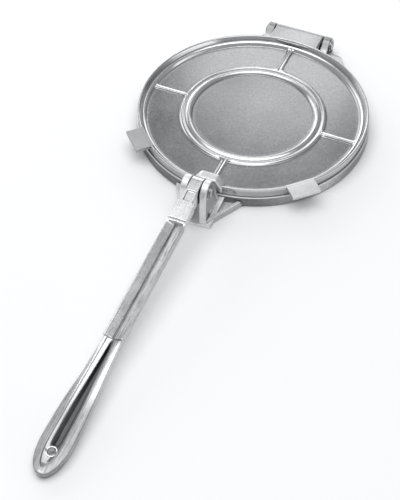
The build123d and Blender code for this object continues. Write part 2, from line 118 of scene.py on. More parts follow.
def divided(path, longest):
    """The path with points added evenly so that no stretch is longer than the given length."""
    path = np.asarray(path, float)
    span = np.linalg.norm(np.diff(path, axis=0), axis=1)
    parts = np.maximum(np.ceil(span / longest).astype(int), 1)
    start = np.repeat(path[:-1], parts, axis=0)
    stop = np.repeat(path[1:], parts, axis=0)
    first = np.repeat(np.cumsum(parts) - parts, parts)
    share = (np.arange(parts.sum()) - first) / np.repeat(parts, parts)
    return np.concatenate([start + (stop - start) * share[:, None], path[-1:]])


def skin(name, grid, wear_and_sheen, shade_and_soot, wrap_rows=False):
    """A mesh over a grid of (rows, columns, 3) points in millimetres, closed along each row.

    The two marks say where its metal is bright, partly from wear and partly painted highlight,
    and where it is dark, partly from grime and partly painted shade, each as one number or as one
    for every point. Points that coincide, as at a pole or a seam, become one, and the faces are
    turned outward.
    """
    rows, columns = grid.shape[:2]
    index = np.arange(rows * columns).reshape(rows, columns)
    right = np.roll(index, -1, axis=1)
    if wrap_rows:
        lower, upper = index, np.roll(index, -1, axis=0)
        lower_right, upper_right = right, np.roll(right, -1, axis=0)
    else:
        lower, upper = index[:-1], index[1:]
        lower_right, upper_right = right[:-1], right[1:]
    faces = np.stack([lower, lower_right, upper_right, upper], axis=-1).reshape(-1, 4)
    mesh = bpy.data.meshes.new(name)
    mesh.from_pydata((grid.reshape(-1, 3) * MM).tolist(), [], faces.tolist())
    for mark, values in (("wear_and_sheen", wear_and_sheen), ("shade_and_soot", shade_and_soot)):
        layer = mesh.attributes.new(mark, "FLOAT", "POINT")
        values = np.broadcast_to(values, (rows, columns)).astype(np.float32)
        layer.data.foreach_set("value", values.ravel())
    shell = bmesh.new()
    shell.from_mesh(mesh)
    bmesh.ops.remove_doubles(shell, verts=shell.verts, dist=1e-7)
    bmesh.ops.recalc_face_normals(shell, faces=shell.faces)
    shell.to_mesh(mesh)
    shell.free()
    mesh.shade_smooth()
    piece = bpy.data.objects.new(name, mesh)
    bpy.context.scene.collection.objects.link(piece)
    return piece


def capped(rings):
    """Rings of (rows, columns, 3) with each end closed: a smaller ring, then its middle."""
    first = rings[:1].mean(axis=1, keepdims=True)
    last = rings[-1:].mean(axis=1, keepdims=True)
    share = np.array([0.0, 0.6])[:, None, None]
    start = first + (rings[:1] - first) * share
    stop = last + (rings[-1:] - last) * share[::-1]
    return np.concatenate([start, rings, stop])


def bar(outline, low, high, edge, between=0):
    """A bar: a closed (n, 2) outline carried from low to high, its end edges rounded.

    Near an end the outline is drawn in by edge (1 - sin a) at a distance edge (1 - cos a) from it,
    as a goes from 0 to a quarter turn. Further rows may stand evenly between the ends. Returns
    (rows, n, 3): the outline's two sizes, then the distance.
    """
    outline = np.asarray(outline, float)
    tangent = unit(np.roll(outline, -1, axis=0) - np.roll(outline, 1, axis=0))
    turning = np.sum(
        outline[:, 0] * np.roll(outline[:, 1], -1) - np.roll(outline[:, 0], -1) * outline[:, 1]
    )
    inward = np.stack([-tangent[:, 1], tangent[:, 0]], axis=1) * np.sign(turning)
    a = np.linspace(0, np.pi / 2, 5)
    draw = edge * (1 - np.sin(a))
    along = edge * (1 - np.cos(a))
    middle = np.linspace(low + edge, high - edge, between + 2)[1:-1]
    draws = np.concatenate([draw, 0 * middle, draw[::-1]])
    places = np.concatenate([low + along, middle, high - along[::-1]])
    rings = outline[None] + inward[None] * draws[:, None, None]
    distance = np.broadcast_to(places[:, None, None], (*rings.shape[:2], 1))
    return capped(np.concatenate([rings, distance], axis=-1))


def box_outline(low, high, cut):
    """A closed rectangle between two corners, its own corners rounded."""
    (x0, y0), (x1, y1) = low, high
    return rounded_loop([(x0, y0), (x1, y0), (x1, y1), (x0, y1)], [cut] * 4)


def turned(points, degrees):
    """Points turned about the z axis."""
    a = np.radians(degrees)
    x, y, z = np.moveaxis(points, -1, 0)
    return np.stack([x * np.cos(a) - y * np.sin(a), x * np.sin(a) + y * np.cos(a), z], axis=-1)


# Materials


class Value:
    """A number that varies over a surface. Arithmetic on it adds Math nodes to its material."""

    def __init__(self, finish, socket):
        self.finish = finish
        self.socket = socket

    def math(self, operation, *others):
        """The result of a Math node that takes this value first."""
        operands = dict(enumerate((self, *others)))
        return self.finish.add("ShaderNodeMath", {"operation": operation}, operands).value()

    def __add__(self, other):
        return self.math("ADD", other)

    def __mul__(self, other):
        return self.math("MULTIPLY", other)

    def __sub__(self, other):
        return self.math("SUBTRACT", other)

    def __rsub__(self, other):
        return self * -1 + other

    __radd__ = __add__
    __rmul__ = __mul__

    def between(self, low, high):
        """0 below low, 1 above high, smooth between them."""
        settings = {"interpolation_type": "SMOOTHSTEP"}
        sockets = {"Value": self, "From Min": low, "From Max": high}
        return self.finish.add("ShaderNodeMapRange", settings, sockets).value("Result")

    def within(self, start, full, fading, gone):
        """0 up to start, 1 from full to fading and 0 again from gone."""
        return self.between(start, full) * (1 - self.between(fading, gone))


class Added:
    """A node in a material, with its outputs as values or as bare sockets."""

    def __init__(self, finish, node):
        self.finish = finish
        self.node = node

    def value(self, output=0):
        return Value(self.finish, self.node.outputs[output])

    def socket(self, output=0):
        return self.node.outputs[output]


class Finish:
    """One metal or paper: its material, and the calls that lay out its nodes."""

    def __init__(self, name, **constants):
        self.material = bpy.data.materials.new(name)
        self.material.use_nodes = True
        self.tree = self.material.node_tree
        self.shader = self.tree.nodes["Principled BSDF"]
        for socket, value in constants.items():
            self.shader.inputs[socket.replace("_", " ").title()].default_value = value
        self.place = self.add("ShaderNodeTexCoord").socket("Object")

    def add(self, kind, settings=None, sockets=None):
        """A new node of this kind, with its settings and what its sockets are given."""
        node = self.tree.nodes.new(kind)
        for name, setting in (settings or {}).items():
            setattr(node, name, setting)
        for name, given in (sockets or {}).items():
            self.feed(node.inputs[name], given)
        return Added(self, node)

    def feed(self, socket, given):
        """Gives a socket a value, a link or a plain constant."""
        given = given.socket if isinstance(given, Value) else given
        if isinstance(given, bpy.types.NodeSocket):
            self.tree.links.new(given, socket)
        else:
            socket.default_value = given

    def set(self, **sockets):
        """Feeds the shader's own sockets, named in small letters."""
        for name, given in sockets.items():
            self.feed(self.shader.inputs[name.replace("_", " ").title()], given)

    def noise(self, size, detail=3.0, rough=0.55, stretch=None):
        """Soft random values about 0.5, with features of the given size in millimetres."""
        place = self.place
        if stretch:
            place = self.add("ShaderNodeMapping", None, {"Vector": place, "Scale": stretch}).socket()
        sockets = {"Vector": place, "Scale": 1 / (size * MM), "Detail": detail, "Roughness": rough}
        return self.add("ShaderNodeTexNoise", None, sockets).value("Fac")

    def mark(self, name):
        """A value stored on the mesh."""
        return self.add("ShaderNodeAttribute", {"attribute_name": name}).value("Fac")

    def hollows(self, reach):
        """1 in the open and towards 0 in corners and grooves, looking this far in millimetres."""
        settings = {"samples": 8, "only_local": False}
        shaded = self.add("ShaderNodeAmbientOcclusion", settings, {"Distance": reach * MM})
        return shaded.value("AO")

    def blend(self, share, low, high):
        """A colour between two, by share."""
        settings = {"data_type": "RGBA"}
        sockets = {0: share, 6: low, 7: high}
        return self.add("ShaderNodeMix", settings, sockets).socket(2)

    def soft_edges(self, radius):
        """The normal as if every edge were rounded by the radius in millimetres."""
        return self.add("ShaderNodeBevel", {"samples": 6}, {"Radius": radius * MM}).socket()

    def coordinates(self):
        """The place on the press, in millimetres, as three values."""
        split = self.add("ShaderNodeSeparateXYZ", None, {"Vector": self.place})
        return [split.value(axis) * (1 / MM) for axis in range(3)]

    def true_normal(self):
        """The direction that the surface's own face looks in."""
        return self.add("ShaderNodeNewGeometry").socket("True Normal")

    def facing(self, axis):
        """How far the surface faces along an axis, 1 when it faces straight either way."""
        split = self.add("ShaderNodeSeparateXYZ", None, {"Vector": self.true_normal()})
        return split.value(axis).math("ABSOLUTE")

    def edge_wear(self, rounded_normal):
        """1 where the rounded normal leans away from the true one, along every edge."""
        normals = {0: rounded_normal, 1: self.true_normal()}
        likeness = self.add("ShaderNodeVectorMath", {"operation": "DOT_PRODUCT"}, normals)
        return 1 - likeness.value("Value").between(0.82, 0.985)

    def relief(self, height, depth, normal=None):
        """A normal for a height between 0 and 1 that stands for a depth in millimetres."""
        sockets = {"Height": height, "Distance": depth * MM, "Strength": 1.0}
        if normal is not None:
            sockets["Normal"] = normal
        return self.add("ShaderNodeBump", None, sockets).socket()


def grey(level):
    """A nearly neutral metal colour, a trace bluer than grey."""
    return (level, level, level + 0.006, 1.0)


def cast_aluminium(name, dull, bright, rough, polished, depth, streaks=0.0):
    """Bare cast aluminium, duller and grainy on its plain faces, brighter where it is worn and
    where a highlight is painted.

    dull and bright are its two greys and rough and polished its two roughnesses. depth is the
    height of its grain in millimetres, which also sets how much the roughness varies, and streaks
    how strongly it is streaked along y. The mesh's own marks say where it is bright, partly worn
    and partly a painted highlight, and where it is dark, partly grime and partly painted shade,
    and painted shade darkens every corner and groove besides.
    """
    metal = Finish(name, metallic=1.0)
    clouds = metal.noise(22, detail=2.0)
    mottle = metal.noise(2.6, detail=4.0, rough=0.65)
    grain = metal.noise(0.5, detail=2.0, rough=0.7)
    wear_and_sheen = metal.mark("wear_and_sheen")
    shade_and_soot = metal.mark("shade_and_soot")
    # Painted shade: the colour darkens towards the dark grey in corners, in grooves and under the
    # dark mark.
    unshaded_and_clean = metal.hollows(5).between(0.15, 0.95) * (1 - shade_and_soot)
    if streaks:
        lines = metal.noise(1.3, detail=3.0, rough=0.7, stretch=(1.0, 0.06, 0.6))
        unshaded_and_clean = unshaded_and_clean - lines.between(0.42, 0.66) * streaks * (1 - wear_and_sheen * 0.9)
    tone = (clouds - 0.5) * 0.9 + (mottle - 0.5) * 1.5 * (1 - wear_and_sheen * 0.6) + 0.5
    matte = metal.blend(tone, grey(dull * 0.8), grey(dull * 1.2))
    # The bright grey stands for worn metal and painted highlight, the dark one for painted shade and
    # grime.
    rub_and_sheen = metal.blend(tone, grey(bright * 0.76), grey(bright))
    shade_and_grime = metal.blend(tone, grey(dull * 0.22), grey(dull * 0.34))
    metal.set(base_color=metal.blend(unshaded_and_clean, shade_and_grime, metal.blend(wear_and_sheen, matte, rub_and_sheen)))
    roughness = rough + wear_and_sheen * (polished - rough) + shade_and_soot.between(0.3, 1.0) * 0.3
    metal.set(roughness=roughness + (mottle - 0.5) * depth * 3.0 + (clouds - 0.5) * 0.1)
    metal.set(normal=metal.relief((grain + mottle * 0.9) * (1 - wear_and_sheen * 0.7), depth))
    return metal.material


def base_casting(name):
    """The base plate's aluminium, laid out by the place on the press.

    The round wall is dark and streaked, with painted light on a stretch at the right, a pale lip
    on top that is a painted highlight, and a painted highlight line on the bracket's floor round
    its foot. The bracket in front is pale, with chalky upward faces, the faces that look to the
    side are painted greyer as painted shade, and the lugs behind are darker. Edges are worn
    bright, and painted shade darkens the corners, less on the bracket in front.
    """
    metal = Finish(name, metallic=1.0)
    x, y, z = metal.coordinates()
    beyond = (x * x + y * y).math("SQRT") - BASE_RADIUS
    wall = beyond.within(-2.5, -1.5, 0.4, 0.7)
    foot = beyond.within(0.1, 0.3, 2.0, 2.6)
    lip = z.between(9.0, 9.5)
    front = 1 - y.between(-100.0, -40.0)
    lugs = y.between(104.0, 108.0)
    upward = metal.facing(2)
    side_shade = metal.facing(0).between(0.55, 0.95)
    mottle = metal.noise(2.6, detail=4.0, rough=0.65)
    grain = metal.noise(0.6, detail=3.0, rough=0.7)
    tone = (mottle - 0.5) * 1.1 + 0.5
    streaks = tone + (grain - 0.5) * 1.6

    def greys(share, low, high):
        """A grey between two, by share."""
        return metal.blend(share, grey(low), grey(high))

    plain = metal.blend(front, greys(tone, 0.46, 0.72), greys(tone, 0.70, 0.92))
    # Painted shade: faces that look to the side are made greyer.
    plain = metal.blend(side_shade, plain, greys(tone, 0.34, 0.56))
    plain = metal.blend(lugs, plain, greys(tone, 0.16, 0.44))
    # Painted light: a stretch of the wall at the right is given paler greys.
    painted_lit = x.between(35.0, 85.0) * (1 - x.between(BASE_RADIUS - 15, BASE_RADIUS) * 0.8)
    streaked = metal.blend(painted_lit, greys(streaks, 0.09, 0.30), greys(streaks, 0.32, 0.72))
    colour = metal.blend(wall * (1 - lip), plain, streaked)
    # Painted highlight: a near-white line on upward faces of the bracket's floor round the wall's
    # foot.
    colour = metal.blend(foot * upward.between(0.6, 0.9) * front, colour, grey(0.96))
    # Painted shade in corners and grooves, weaker on the bracket in front.
    unshaded_and_clean = metal.hollows(6).between(0.1, 0.9) + front * 0.6
    colour = metal.blend(unshaded_and_clean, grey(0.20), colour)
    rounded_normal = metal.soft_edges(0.6)
    edges = metal.edge_wear(rounded_normal)
    # Edges are worn bright; the band along the wall's top lip is a painted highlight.
    rub_and_sheen = edges * (1 - wall) * (1 - lugs * 0.7) + lip * wall * 0.6
    metal.set(base_color=metal.blend(rub_and_sheen, colour, grey(0.9)))
    chalky = upward.between(0.4, 0.8) * front * (1 - wall)
    metal.set(metallic=1 - chalky * tone.between(0.2, 0.8) * 0.8)
    metal.set(roughness=(mottle - 0.5) * 0.25 + 0.42 - edges * 0.18)
    metal.set(normal=metal.relief(grain * 0.8 + mottle, 0.08, rounded_normal))
    return metal.material


def steel(name):
    """Plain drawn steel with fine scratches along the pin."""
    metal = Finish(name, metallic=1.0)
    scratches = metal.noise(0.5, detail=2.0, stretch=(0.1, 1.0, 1.0))
    smudges = metal.noise(4)
    metal.set(base_color=metal.blend(smudges, grey(0.30), grey(0.52)))
    metal.set(roughness=0.26 + scratches * 0.16)
    metal.set(normal=metal.relief(scratches, 0.02, metal.soft_edges(0.3)))
    return metal.material


lid_metal = cast_aluminium(
    "Lid casting", dull=0.32, bright=0.74, rough=0.26, polished=0.20, depth=0.018
)
lever_metal = cast_aluminium(
    "Lever casting", dull=0.60, bright=0.93, rough=0.36, polished=0.22, depth=0.02, streaks=0.5
)
tab_metal = cast_aluminium(
    "Tab casting", dull=0.62, bright=0.90, rough=0.50, polished=0.42, depth=0.03
)
base_metal = base_casting("Base casting")
pin_metal = steel("Pin steel")


# Top plate: one revolved casting with four spokes drawn up out of its panel

PLATE_TOP = 18.5
PRESSING_FACE = 8.1
LOWER_RADIUS = 99.1
RIM_FOOT = 96.4
PANEL = 11.0
PANEL_START = 64.0
PANEL_END = 92.0
DISC = 10.3
DISC_RADIUS = 52.6
LID_PROFILE = [  # radius, height, and how much the corner there is rounded
    (0.0, PRESSING_FACE, 0.0),
    (LOWER_RADIUS, PRESSING_FACE, 0.5),
    (LOWER_RADIUS, 10.2, 0.8),
    (PLATE_RADIUS, PLATE_TOP, 0.8),
    (98.3, PLATE_TOP, 0.8),
    (RIM_FOOT, 14.2, 0.6),
    (95.1, 14.9, 0.7),
    (93.6, 13.9, 0.5),
    (PANEL_END, PANEL, 0.9),
    (PANEL_START, PANEL, 0.6),
    (62.6, 12.2, 0.5),
    (61.2, 12.5, 0.6),
    (60.2, 12.0, 0.4),
    (58.9, 11.8, 0.6),
    (57.0, 12.7, 0.9),
    (55.4, 13.0, 0.8),
    (54.0, 12.0, 0.8),
    (DISC_RADIUS, DISC, 0.8),
    (0.0, DISC, 0.0),
]
# Lines of painted shade in the creases and grooves at the steps.
CREASE_SHADE_LINES = [  # radius, and the half width that the line fades over
    (DISC_RADIUS, 0.5),
    (59.1, 0.7),
    (PANEL_START - 0.1, 0.6),
    (RIM_FOOT + 0.1, 0.5),
]
SPOKE_TOP = 12.6
SPOKE_HALF_WIDTH = 1.35
SPOKE_GROOVE_DEPTH = 0.55
SPOKE_GROOVE_WIDTH = 0.8


def spread_angles(per_quarter):
    """Angles round the plate, crowded at the four spokes: q (t - 0.95 sin(2 pi t) / (2 pi))."""
    t = np.arange(per_quarter) / per_quarter
    quarter = t - 0.95 * np.sin(2 * np.pi * t) / (2 * np.pi)
    return ((np.arange(4)[:, None] + quarter) * np.pi / 2).ravel()


def spoke_height(radius, across):
    """Height of a spoke at a distance across from its middle line.

    It is flat on top with a shallow groove along it, and falls away steeply at its sides:
    top - depth exp(-(across / groove width)^2) - 1.6 max(across - half width, 0)^1.2. The half
    width grows at both ends, by 1.1 exp((64 - radius) / 1.4) and by 1.5 exp((radius - 92.4) / 1.3).
    """
    flare = 1.1 * np.exp((PANEL_START - radius) / 1.4)
    flare = flare + 1.5 * np.exp((radius - PANEL_END - 0.4) / 1.3)
    groove = SPOKE_GROOVE_DEPTH * np.exp(-((across / SPOKE_GROOVE_WIDTH) ** 2))
    return SPOKE_TOP - groove - 1.6 * np.maximum(across - SPOKE_HALF_WIDTH - flare, 0) ** 1.2


def lid_wear(radius, angle, height, raised):
    """The lid's bright and dark marks by the place on it.

    The rim, the ring and the spokes are worn bright, partly as a painted highlight, and the panel
    in front is brightened a little as painted light. Fine dark lines of painted shade lie along
    the steps, painted shade darkens the disc at its left and its back and the panel at its right,
    and the outer wall in front is darkened as painted shade. The pressing face is even and has no
    dark marks.
    """
    x, y = radius * np.cos(angle), radius * np.sin(angle)
    disc = 1 - smooth_step(radius, DISC_RADIUS - 2.6, DISC_RADIUS + 0.4)
    ring = within(
        radius, DISC_RADIUS - 0.4, DISC_RADIUS + 1.2, PANEL_START - 0.6, PANEL_START + 1.0
    )
    panel = within(radius, PANEL_START - 0.5, PANEL_START + 2.0, PANEL_END - 1.5, PANEL_END)
    rim = smooth_step(radius, PANEL_END - 0.4, PANEL_END + 1.2)
    rim_top = smooth_step(height, PLATE_TOP - 0.9, PLATE_TOP - 0.3)
    below_rim = 1 - smooth_step(height, PLATE_TOP - 1.5, PLATE_TOP - 0.9)
    outer_wall = smooth_step(radius, LOWER_RADIUS - 0.4, LOWER_RADIUS) * below_rim
    spokes = smooth_step(raised, PANEL + 0.15, PANEL + 1.0) * (radius > PANEL_START)
    # The rim, the ring and the spokes: worn bright, partly a painted highlight.
    wear_and_sheen = np.clip(rim + 0.75 * ring + 0.75 * spokes, 0, 1)
    # Painted light: the front of the panel is brightened.
    wear_and_sheen = wear_and_sheen + 0.16 * panel * smooth_step(-y, 15.0, 60.0) * smooth_step(x, -60.0, 0.0)
    # Painted shade: the disc darker at its left and back, and the panel at its right.
    shade_patches = disc * (0.26 * smooth_step(-x, -5.0, 40.0) + 0.15 * smooth_step(y, 5.0, 45.0))
    shade_patches = shade_patches + 0.2 * panel * smooth_step(x, 60.0, 75.0) * smooth_step(y, -30.0, -5.0)
    # Painted shade in the creases and grooves at the steps.
    lines = sum(np.exp(-(((radius - line) / width) ** 2)) for line, width in CREASE_SHADE_LINES)
    # Painted shade on the outer wall in front.
    shaded_wall = outer_wall * smooth_step(-np.sin(angle), 0.2, 0.7)
    shade_and_soot = shade_patches + 0.5 * lines + 0.25 * rim_top + 0.45 * shaded_wall
    pressing_face = height < PRESSING_FACE + 0.5
    return np.where(pressing_face, 0.6, wear_and_sheen), np.where(pressing_face, 0.0, shade_and_soot)


def lid_plate():
    """The lid turned about z. Its height is the profile's, or a spoke's where that is higher."""
    profile = np.array(LID_PROFILE)
    path = divided(rounded(profile[:, :2], profile[1:-1, 2]), 2.5)
    radius, height = path[:, :1], path[:, 1:]
    angle = spread_angles(96)[None]
    nearest_spoke = np.round(angle / (np.pi / 2)) * np.pi / 2
    spoke = spoke_height(radius, radius * np.abs(np.sin(angle - nearest_spoke)))
    on_panel = (radius > PANEL_START - 2.5) & (radius < PANEL_END + 1.6) & (height > PANEL - 0.5)
    raised = np.where(on_panel, softer_of(height, spoke, 0.35), height)
    points = np.stack([radius * np.cos(angle), radius * np.sin(angle), raised], axis=-1)
    wear_and_sheen, shade_and_soot = lid_wear(radius, angle, height, raised)
    return skin("lid_plate", points, wear_and_sheen, shade_and_soot)


def tab(name, degrees, shade_and_soot):
    """A lifting tab: a flat bar that reaches out from the lid's rim, flush with its top."""
    half_width, thickness, reach = 12.5, 3.2, 12.0
    outline = box_outline((-half_width, PLATE_TOP - thickness), (half_width, PLATE_TOP), 0.6)
    y, z, x = np.moveaxis(bar(outline, RIM_FOOT, PLATE_RADIUS + reach, 0.7), -1, 0)
    points = turned(np.stack([x, y, z], axis=-1), degrees)
    return skin(name, points, wear_and_sheen=0.5, shade_and_soot=shade_and_soot)


def nose():
    """The block on the lid's front edge that the lever bears on, with sloping flanks."""
    front, rear = -101.5, -93.0
    half_width, top_half_width = 13.0, 7.5
    foot, shoulder, top = 12.5, 17.5, 24.96
    corners = [
        (-half_width, foot),
        (half_width, foot),
        (half_width, shoulder),
        (top_half_width, top),
        (-top_half_width, top),
        (-half_width, shoulder),
    ]
    outline = divided(rounded_loop(corners, [0.3, 0.3, 1.2, 1.4, 1.4, 1.2]), 2.0)
    x, z, y = np.moveaxis(bar(outline, front, rear, 1.2), -1, 0)
    return skin("lid_nose", np.stack([x, y, z], axis=-1), wear_and_sheen=0.6, shade_and_soot=0.0)


def tongue():
    """The hinge tongue behind the lid: a flat-topped bar that ends in a barrel round the pin.

    Its side view is an arc of 264 degrees about the pin, closed by a straight top and a straight
    underside that meet inside the rim.
    """
    hinge_y, hinge_z = HINGES["lid_hinge"][1:]
    barrel, half_width, root = 7.0, 23.0, 96.0
    underside, middle, top = 10.45, 15.0, hinge_z + barrel
    a = np.radians(np.linspace(88, -176, 34))
    arc = np.stack([hinge_y + barrel * np.cos(a), hinge_z + barrel * np.sin(a)], axis=1)
    upper = rounded([(root, middle), (root, top), (hinge_y, top)], [1.5])
    lower = [(hinge_y - barrel, underside), (root + 2.0, underside), (root, middle)]
    outline = divided(np.concatenate([upper[:-1], arc, rounded(lower, [1.0])[:-1]]), 2.0)
    y, z, x = np.moveaxis(bar(outline, -half_width, half_width, 1.3), -1, 0)
    return skin("lid_tongue", np.stack([x, y, z], axis=-1), wear_and_sheen=0.25, shade_and_soot=0.12)


# Lever: a section carried along it, in its own frame: x across, u along, v out of its hollow side

PIVOT = HINGES["lever_hinge"]
BACK = 5.6
KNUCKLE_RADIUS = 8.8
KNUCKLE_END = 22.4
NECK_END = 38.0
NECK_END_HEIGHT = 6.6
NECK_HALF_WIDTH = 7.6
SHAFT_HALF_WIDTH = 7.8
SHAFT_RIM = 4.8
CHANNEL_DEPTH = 3.4
GRIP_START = 155.0
GRIP_WIDEST = 244.0
GRIP_END = 273.0
GRIP_HALF_WIDTH = 12.4
GRIP_RIM = 3.2
GRIP_BED = -3.0
EYE = GRIP_END - 19.0
EYE_RADIUS = 3.1
CORNER_CUTS = [2.6, 0.9, 0.5, 0.3, 0.4, 0.7, 0.6]
CORNER_STEPS = 5

# The lever hangs down by this angle, so that its back touches the table at TIP_TOUCH along it
TIP_TOUCH = GRIP_END - 7.2
DROOP = np.arcsin(PIVOT[2] / np.hypot(TIP_TOUCH, BACK)) - np.arctan2(BACK, TIP_TOUCH)
ACROSS = np.array([1.0, 0.0, 0.0])
ALONG = np.array([0.0, -np.cos(DROOP), -np.sin(DROOP)])
OUT = np.array([0.0, -np.sin(DROOP), np.cos(DROOP)])


def lever_place(x, u, v):
    """Points of the lever's frame in the press's frame: the pivot + x across + u along + v out."""
    x, u, v = np.broadcast_arrays(x, u, v)
    return PIVOT + x[..., None] * ACROSS + u[..., None] * ALONG + v[..., None] * OUT


def bearing_height(u):
    """Height of the knuckle's and the neck's straight top above the lever's axis."""
    return KNUCKLE_RADIUS - (KNUCKLE_RADIUS - NECK_END_HEIGHT) * u / NECK_END


def leaf(u, start, root, widest, half, end):
    """Half width of a leaf: widening from its root, then rounding off to nothing at its end.

    It is (root + (half - root) (0.55 (3t^2 - 2t^3) + 0.45 sin(pi t / 2))) sqrt(1 - s^2.3), where
    t goes from 0 to 1 up to the widest place and s from 0 to 1 after it.
    """
    t = np.clip((u - start) / (widest - start), 0, 1)
    s = np.clip((u - widest) / (end - widest), 0, 1)
    widening = 0.55 * smooth_step(t, 0, 1) + 0.45 * np.sin(t * np.pi / 2)
    return (root + (half - root) * widening) * np.sqrt(1 - s**2.3)


def tip_fall(u, reach):
    """0 until this near to the lever's end, then 1 - sqrt(1 - t^2), which is 1 at the end."""
    t = np.clip((u - (GRIP_END - reach)) / reach, 0, 1)
    return 1 - np.sqrt(1 - t**2)


def lever_stations():
    """The distances along the lever at which its section is worked out, crowded at its details."""
    rounded_tip = 10.0
    stretches = [  # from, to, and how many
        (KNUCKLE_END - 0.7, NECK_END, 16),
        (NECK_END, NECK_END + 6, 26),
        (NECK_END + 6, GRIP_START - 5, 40),
        (GRIP_START - 5, GRIP_START + 11, 54),
        (GRIP_START + 11, GRIP_END - rounded_tip, 60),
    ]
    spans = [np.linspace(low, high, count, endpoint=False) for low, high, count in stretches]
    tip = GRIP_END - rounded_tip * (1 - np.sin(np.linspace(0, np.pi / 2, 26)))
    return np.concatenate([*spans, tip])


def half_sections(u):
    """The right half of the lever's section at each place along it, its corners rounded.

    Nine corners run from the middle of the back to the back's edge, up to the rim, in over the
    band, the ridge and the inner step, down to the valley's edge, and over its bed to the middle.
    Each one's distance from the middle and its height are functions of u, put together from a
    size in the neck, one in the shaft and one in the grip, where the widths are leaves. A low
    bump ends the channel at the neck.
    """
    shaft = smooth_step(u, NECK_END + 0.2, NECK_END + 1.4)
    channel = smooth_step(u, NECK_END + 1.8, NECK_END + 5.0)
    grip = smooth_step(u, GRIP_START - 0.4, GRIP_START + 0.4)
    valley = within(u, GRIP_START, GRIP_START + 9, EYE - 7, EYE - 2.5)
    dish = 1 - np.clip((u - (GRIP_END - 9)) / 6, 0, 1)
    bump = 0.7 * np.exp(-(((u - (NECK_END + 2.6)) / 1.2) ** 2))

    def along(neck, plain, held):
        """A size in the neck, in the shaft and in the grip."""
        return (neck + (plain - neck) * shaft) * (1 - grip) + held * grip

    inner_start, valley_end = GRIP_START - 1, GRIP_END - 11
    outer_leaf = leaf(u, GRIP_START, 7.5, GRIP_WIDEST, GRIP_HALF_WIDTH, GRIP_END)
    inner_leaf = leaf(u, inner_start, 5.2, GRIP_WIDEST, 6.9, GRIP_END - 5)
    edge_leaf = leaf(u, inner_start, 0.7, GRIP_WIDEST - 8, 3.7, valley_end)
    bed_leaf = leaf(u, inner_start, 0.35, GRIP_WIDEST - 14, 1.6, valley_end)
    width = along(NECK_HALF_WIDTH, SHAFT_HALF_WIDTH, outer_leaf)
    band = np.minimum(along(6.7, 7.0, inner_leaf), width)
    edge = np.minimum(along(0.7, 0.7, edge_leaf), 0.8 * band)
    bed = np.minimum(along(0.35, 0.35, bed_leaf), 0.8 * edge)
    ease = np.minimum(1, band / 4.0)

    flat = bearing_height(u)
    back = BACK - 3.6 * tip_fall(u, 3.6)
    rim = along(flat, SHAFT_RIM + bump, GRIP_RIM) - 0.8 * tip_fall(u, 1.0)
    channel_top = SHAFT_RIM + bump * (1 - channel)
    outer_height = along(flat, rim, rim - 0.75 * smooth_step(u, GRIP_START, GRIP_START + 35))
    band_height = along(flat, rim, rim)
    ridge_height = along(flat, rim - 0.05 * channel, rim - 0.15 * dish)
    inner_height = along(flat, rim - 0.35 * channel, rim - 0.9 * dish)
    edge_height = along(flat, channel_top - (CHANNEL_DEPTH - 0.7) * channel, rim - 1.6 * dish)
    bed_height = along(flat, channel_top - CHANNEL_DEPTH * channel, 0.0)
    bed_height = bed_height + grip * (edge_height + (GRIP_BED - edge_height) * valley)

    corners = [
        (0 * u, -back),
        (width - 0.9, -back),
        (width, outer_height),
        (band, band_height),
        (band - 0.45 * ease, ridge_height),
        (band - 0.95 * ease, inner_height),
        (edge, edge_height),
        (bed, bed_height),
        (0 * u, bed_height),
    ]
    half = np.stack([np.stack(corner, axis=-1) for corner in corners], axis=1)
    half[..., 0] = np.maximum(half[..., 0], 0)
    cuts = CORNER_CUTS * np.minimum(1, width / 7.0)[:, None]
    lengths = np.linalg.norm(np.diff(half, axis=1), axis=-1)
    cuts = np.minimum(cuts, 0.45 * np.minimum(lengths[:, :-1], lengths[:, 1:]))
    return rounded(half, cuts, CORNER_STEPS)


def over_section(*corners):
    """A value for each of a half section's nine corners, spread over the whole section's points."""
    half = np.concatenate([corners[:1], np.repeat(corners[1:-1], CORNER_STEPS), corners[-1:]])
    return np.concatenate([half, half[-2:0:-1]])


